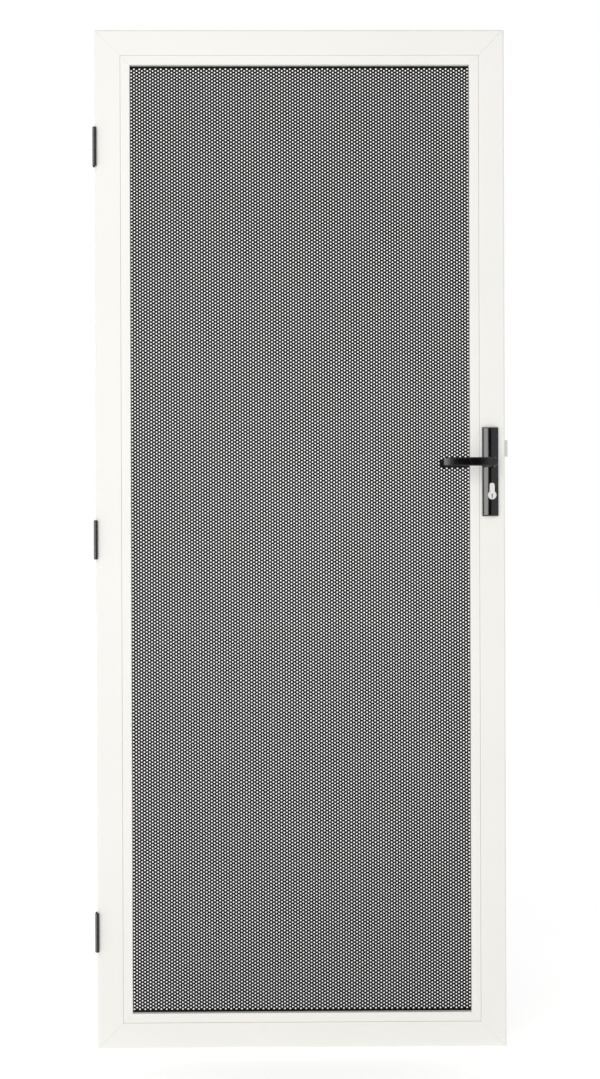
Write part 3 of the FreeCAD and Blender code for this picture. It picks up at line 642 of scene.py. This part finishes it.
countersunk_head = screw_head(
    "countersunk_head", [(2.1, -1.7), (2.1, -1.25), (3.35, -0.12), (3.2, -0.05)],
    cross_reach=1.75, cross_half=0.42, cross_top=-0.05, cross_floor=-0.95)
raised_head = screw_head(
    "raised_head", [(2.2, -0.8), (3.1, -0.05), (2.9, 0.25), (2.1, 0.5)],
    cross_reach=1.6, cross_half=0.4, cross_top=0.55, cross_floor=0.08)
oval_head = screw_head(
    "oval_head", [(2.4, -1.6), (3.6, -0.3), (3.3, 0.6), (2.5, 1.1)],
    cross_reach=1.9, cross_half=0.46, cross_top=1.3, cross_floor=0.25)

# %% [markdown]
# The heads could be copied by hand, but nobody stops every screw at the same turn. So a node tree puts a head on each
# spot, looking the way that is asked for, and gives it a turn of its own from a fixed seed.

# %% The tree that drives screws
drive = NodeTree("drive_screws", head="Object", facing="Vector", seed="Int", finish="Material")
screw_points = drive.add("GeometryNodeMeshToPoints", Mesh=drive.given("geometry"))["Points"]
draw = drive.add("FunctionNodeRandomValue", {"data_type": "FLOAT"}, Min=0.0, Max=math.tau, Seed=drive.given("seed"))
own_turn = next(output for output in draw if output.enabled)
spin = drive.add("FunctionNodeAxisAngleToRotation", Axis=(0, 0, 1), Angle=own_turn)["Rotation"]
towards = drive.add("FunctionNodeEulerToRotation", Euler=drive.given("facing"))["Rotation"]
turned = drive.add(
    "FunctionNodeRotateRotation", {"rotation_space": "LOCAL"}, Rotation=towards, Rotate_By=spin)["Rotation"]
blank = drive.add("GeometryNodeObjectInfo", Object=drive.given("head"))["Geometry"]
driven = drive.add(
    "GeometryNodeInstanceOnPoints", Points=screw_points, Instance=blank, Rotation=turned)["Instances"]
driven = drive.add("GeometryNodeRealizeInstances", Geometry=driven)["Geometry"]
drive.finish_with(drive.add("GeometryNodeSetMaterial", Geometry=driven, Material=drive.given("finish"))["Geometry"])
print("drive_screws has", len(drive.tree.nodes), "nodes")

# %% [markdown]
# The hinge screws sit in the sunk holes of the plates on the leaf, which only an open door shows. The forend has one
# screw at each end and one that holds the cylinder, and the inner plate one at each end, so none can be undone from
# outside.

# %% Screws of the hinges, the forend and the inner plate
TO_JAMB, TO_LOCK, TO_INSIDE = (0, -math.pi / 2, 0), (0, math.pi / 2, 0), (-math.pi / 2, 0, 0)
HINGE_PLATE = 1.8 * MM           # thickness of the plate on the leaf
OUTER_PAIR = (4 * MM, 28 * MM)   # a pair's place across the leaf, and up and down from the hinge's middle
INNER_PAIR = (-4 * MM, 11 * MM)
FOREND_END = 9 * MM              # from the forend's ends to its screws
CYLINDER_SCREW = 14 * MM         # from the key's axis up to the screw in the cylinder's leg
PLATE_END = 12 * MM              # from the plate's ends to its screws

plate_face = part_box("hinge_stile")[0].x - HINGE_PLATE
hinge_spots = []
for hinge in ("top", "middle", "bottom"):
    low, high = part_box(f"{hinge}_hinge_door_half")
    for y, rise in (OUTER_PAIR, INNER_PAIR):
        hinge_spots += [(plate_face, y, (low.z + high.z) / 2 + way * rise) for way in (-1, 1)]

low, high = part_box("lock_forend")
key_low, key_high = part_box("outer_key_plug")
cylinder_screw = (key_low.z + key_high.z) / 2 + CYLINDER_SCREW
forend_spots = [(high.x, 0, z) for z in (low.z + FOREND_END, cylinder_screw, high.z - FOREND_END)]
low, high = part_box("inner_lock_plate")
plate_spots = [((low.x + high.x) / 2, high.y, z) for z in (low.z + PLATE_END, high.z - PLATE_END)]

for name, spots, head, facing, seed, slot_name in (
        ("hinge_screws", hinge_spots, countersunk_head, TO_JAMB, 3, "hinge_black"),
        ("forend_screws", forend_spots, raised_head, TO_LOCK, 5, "lock_steel"),
        ("plate_screws", plate_spots, oval_head, TO_INSIDE, 7, "lock_black")):
    piece = drive.make(name, spots, head=head, facing=facing, seed=seed, finish=finishes[slot_name])
    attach(piece, "door_leaf")
    print(name, len(spots), "screws,", triangles(piece), "triangles")

# %% [markdown]
# ## Floor, light and camera
#
# The door hangs just clear of a plain pale floor. More lamps could make the floor as white as the backdrop, but they
# would wash out the frame's shading, so the paint of the floor glows a little itself. Mirrors don't see it.

# %% Floor
FLOOR_GAP = 8 * MM
FLOOR_SIZE = 40.0
FLOOR_CENTRE_X = 0.4
FLOOR_MOTTLE = 0.8
FLOOR_GLOW = 0.41
FLOOR_PALE, FLOOR_DEEP = (0.96, 0.96, 0.955), (0.93, 0.93, 0.925)
bpy.ops.mesh.primitive_plane_add(size=FLOOR_SIZE, location=(FLOOR_CENTRE_X, 0, cad_low.z - FLOOR_GAP))
floor = bpy.context.object
floor.name = "floor"
floor_paint, floor_tree, floor_shader = start_finish(
    "floor_paint", Roughness=0.85, Specular_IOR_Level=0.1, Emission_Color=(1, 1, 1, 1),
    Emission_Strength=FLOOR_GLOW)
mottle = add_noise(floor_tree, FLOOR_MOTTLE, detail=3)
floor_tree.links.new(
    to_colours(floor_tree, mottle, (NOISE_LOW, FLOOR_DEEP), (NOISE_HIGH, FLOOR_PALE)),
    floor_shader.inputs["Base Color"])
floor.data.materials.append(floor_paint)
floor.visible_glossy = False
print("floor", round(FLOOR_GAP / MM), "mm below the door")

# %% [markdown]
# The room is that of a studio for catalogue pictures: an even glow all round, brighter behind the door so that its
# back isn't grey. Black paint shows little but what it mirrors, so mirrors see walls in place of the glow: a bright
# one on the left, which draws the pale strips on the lock plate and the hinges, a dark flag behind the camera, and a
# dim one on the right. The walls end at some height, and above and below them is a pale ceiling and floor. The camera
# itself sees plain white. Real walls could stand round the door, but they would block the other views.

# %% The room: an even glow on matt surfaces, and walls that only mirrors see
GLOW_IN_FRONT, GLOW_BEHIND = 0.46, 0.70
GLOW_BLEND = 0.1                   # the glow changes between this far in front and behind, as a sine
BRIGHTEST_WALL = 3.5
CEILING_AND_FLOOR = 0.6
WALLS_FADE, WALLS_END = 0.34, 0.5  # how far the walls reach up and down, as a sine
MIRRORED_WALLS = (                 # degrees to the right from straight in front of the door, and brightness there
    (-180, 0.12), (-165, 0.12), (-150, 2.7), (-60, 2.7), (-54, 0.05), (-42, 0.05), (-37, 3.5), (-14, 3.5), (-8, 0.03),
    (10, 0.03), (14, 0.45), (150, 0.45), (180, 0.12))

world = bpy.data.worlds.new("studio")
bpy.context.scene.world = world
world.use_nodes = True
sky = world.node_tree
glow = sky.nodes["Background"]
glow.inputs["Color"].default_value = (1, 1, 1, 1)


def sky_sum(operation, first, second=0.0):
    return add_sum(sky, operation, first, second)


def mix_strength(factor, value, base):
    """base where factor is 0 and value where it is 1."""
    blend = sky.nodes.new("ShaderNodeMix")
    blend.data_type = "FLOAT"
    for socket, given in (("Factor", factor), ("A", base), ("B", value)):
        link_or_set(sky, blend.inputs[socket], given)
    return blend.outputs["Result"]


direction = sky.nodes.new("ShaderNodeSeparateXYZ")
sky.links.new(sky.nodes.new("ShaderNodeTexCoord").outputs["Generated"], direction.inputs["Vector"])
bearing = sky_sum("ARCTAN2", direction.outputs["X"], sky_sum("MULTIPLY", direction.outputs["Y"], -1.0))
turn = sky_sum("ADD", sky_sum("MULTIPLY", bearing, 1 / math.tau), 0.5)
stops = [((degrees + 180) / 360, [brightness / BRIGHTEST_WALL] * 3) for degrees, brightness in MIRRORED_WALLS]
wall_light = sky_sum("MULTIPLY", to_colours(sky, turn, *stops), BRIGHTEST_WALL)
past_walls = to_range(sky, sky_sum("ABSOLUTE", direction.outputs["Z"]), 0.0, 1.0, WALLS_FADE, WALLS_END)
mirrored = mix_strength(past_walls, CEILING_AND_FLOOR, wall_light)
glow_there = to_range(sky, direction.outputs["Y"], GLOW_IN_FRONT, GLOW_BEHIND, -GLOW_BLEND, GLOW_BLEND)
rays = sky.nodes.new("ShaderNodeLightPath")
strength = mix_strength(rays.outputs["Is Glossy Ray"], mirrored, glow_there)
strength = mix_strength(rays.outputs["Is Camera Ray"], 1.0, strength)
sky.links.new(strength, glow.inputs["Strength"])
print("walls at", len(stops), "bearings")

# %% [markdown]
# Two lamps model the white frame. A wide soft key stands above and in front, and a tall box on the left makes the
# hinge side brighter than the lock side. Mirrors see neither, because the walls already give them their strips.

# %% Lamps that model the white frame
KEY_PLACE, KEY_TARGET = (-0.1, -3.6, 1.7), (0.41, 0, 0)
KEY_ENERGY = 0.57
KEY_SOFTNESS = math.radians(40)
LEFT_PLACE, LEFT_TARGET = (-0.35, -2.0, 0.6), (0.05, 0, 0.1)
LEFT_WIDTH, LEFT_HEIGHT, LEFT_RADIANCE = 0.8, 2.2, 1.9


def hang_lamp(lamp, place, target):
    holder = bpy.data.objects.new(lamp.name, lamp)
    holder.location = place
    holder.rotation_euler = (Vector(target) - Vector(place)).to_track_quat("-Z", "Y").to_euler()
    holder.visible_glossy = False
    bpy.context.scene.collection.objects.link(holder)


key = bpy.data.lights.new("key", "SUN")
key.energy = KEY_ENERGY
key.angle = KEY_SOFTNESS
hang_lamp(key, KEY_PLACE, KEY_TARGET)

left_box = bpy.data.lights.new("left_box", "AREA")
left_box.shape = "RECTANGLE"
left_box.size = LEFT_WIDTH
left_box.size_y = LEFT_HEIGHT
left_box.energy = LEFT_RADIANCE * math.pi * LEFT_WIDTH * LEFT_HEIGHT
hang_lamp(left_box, LEFT_PLACE, LEFT_TARGET)
print("lamps:", key.name, KEY_ENERGY, "W/m2,", left_box.name, round(left_box.energy, 1), "W")
bpy.context.scene.view_settings.view_transform = "Standard"

# %% [markdown]
# The camera stands 3.6 m in front of the door at the height of its middle, with a lens of 60 mm. Its place comes from
# fitting the door's corners, hinges and lock to where they lie in the picture. The sensor's width lies along the
# picture's longer side, which is its height.

# %% Camera
IMAGE_HEIGHT = 1079
FOCAL_PIXELS = 1799.3
SENSOR = 36
CAMERA_PLACE = (0.3759, -3.6152, 0.0115)
YAW, PITCH, ROLL = (math.radians(angle) for angle in (-0.584, -0.194, 0.190))

camera = bpy.data.objects.new("camera", bpy.data.cameras.new("camera"))
bpy.context.scene.collection.objects.link(camera)
bpy.context.scene.camera = camera
camera.data.sensor_width = SENSOR
camera.data.lens = FOCAL_PIXELS / IMAGE_HEIGHT * SENSOR
aim = Matrix.Rotation(YAW, 4, "Z") @ Matrix.Rotation(PITCH, 4, "X") @ Matrix.Rotation(ROLL, 4, "Y")
level = Matrix.Rotation(math.radians(90), 4, "X")
camera.matrix_world = Matrix.Translation(CAMERA_PLACE) @ aim @ level
print("lens", round(camera.data.lens, 1), "mm")
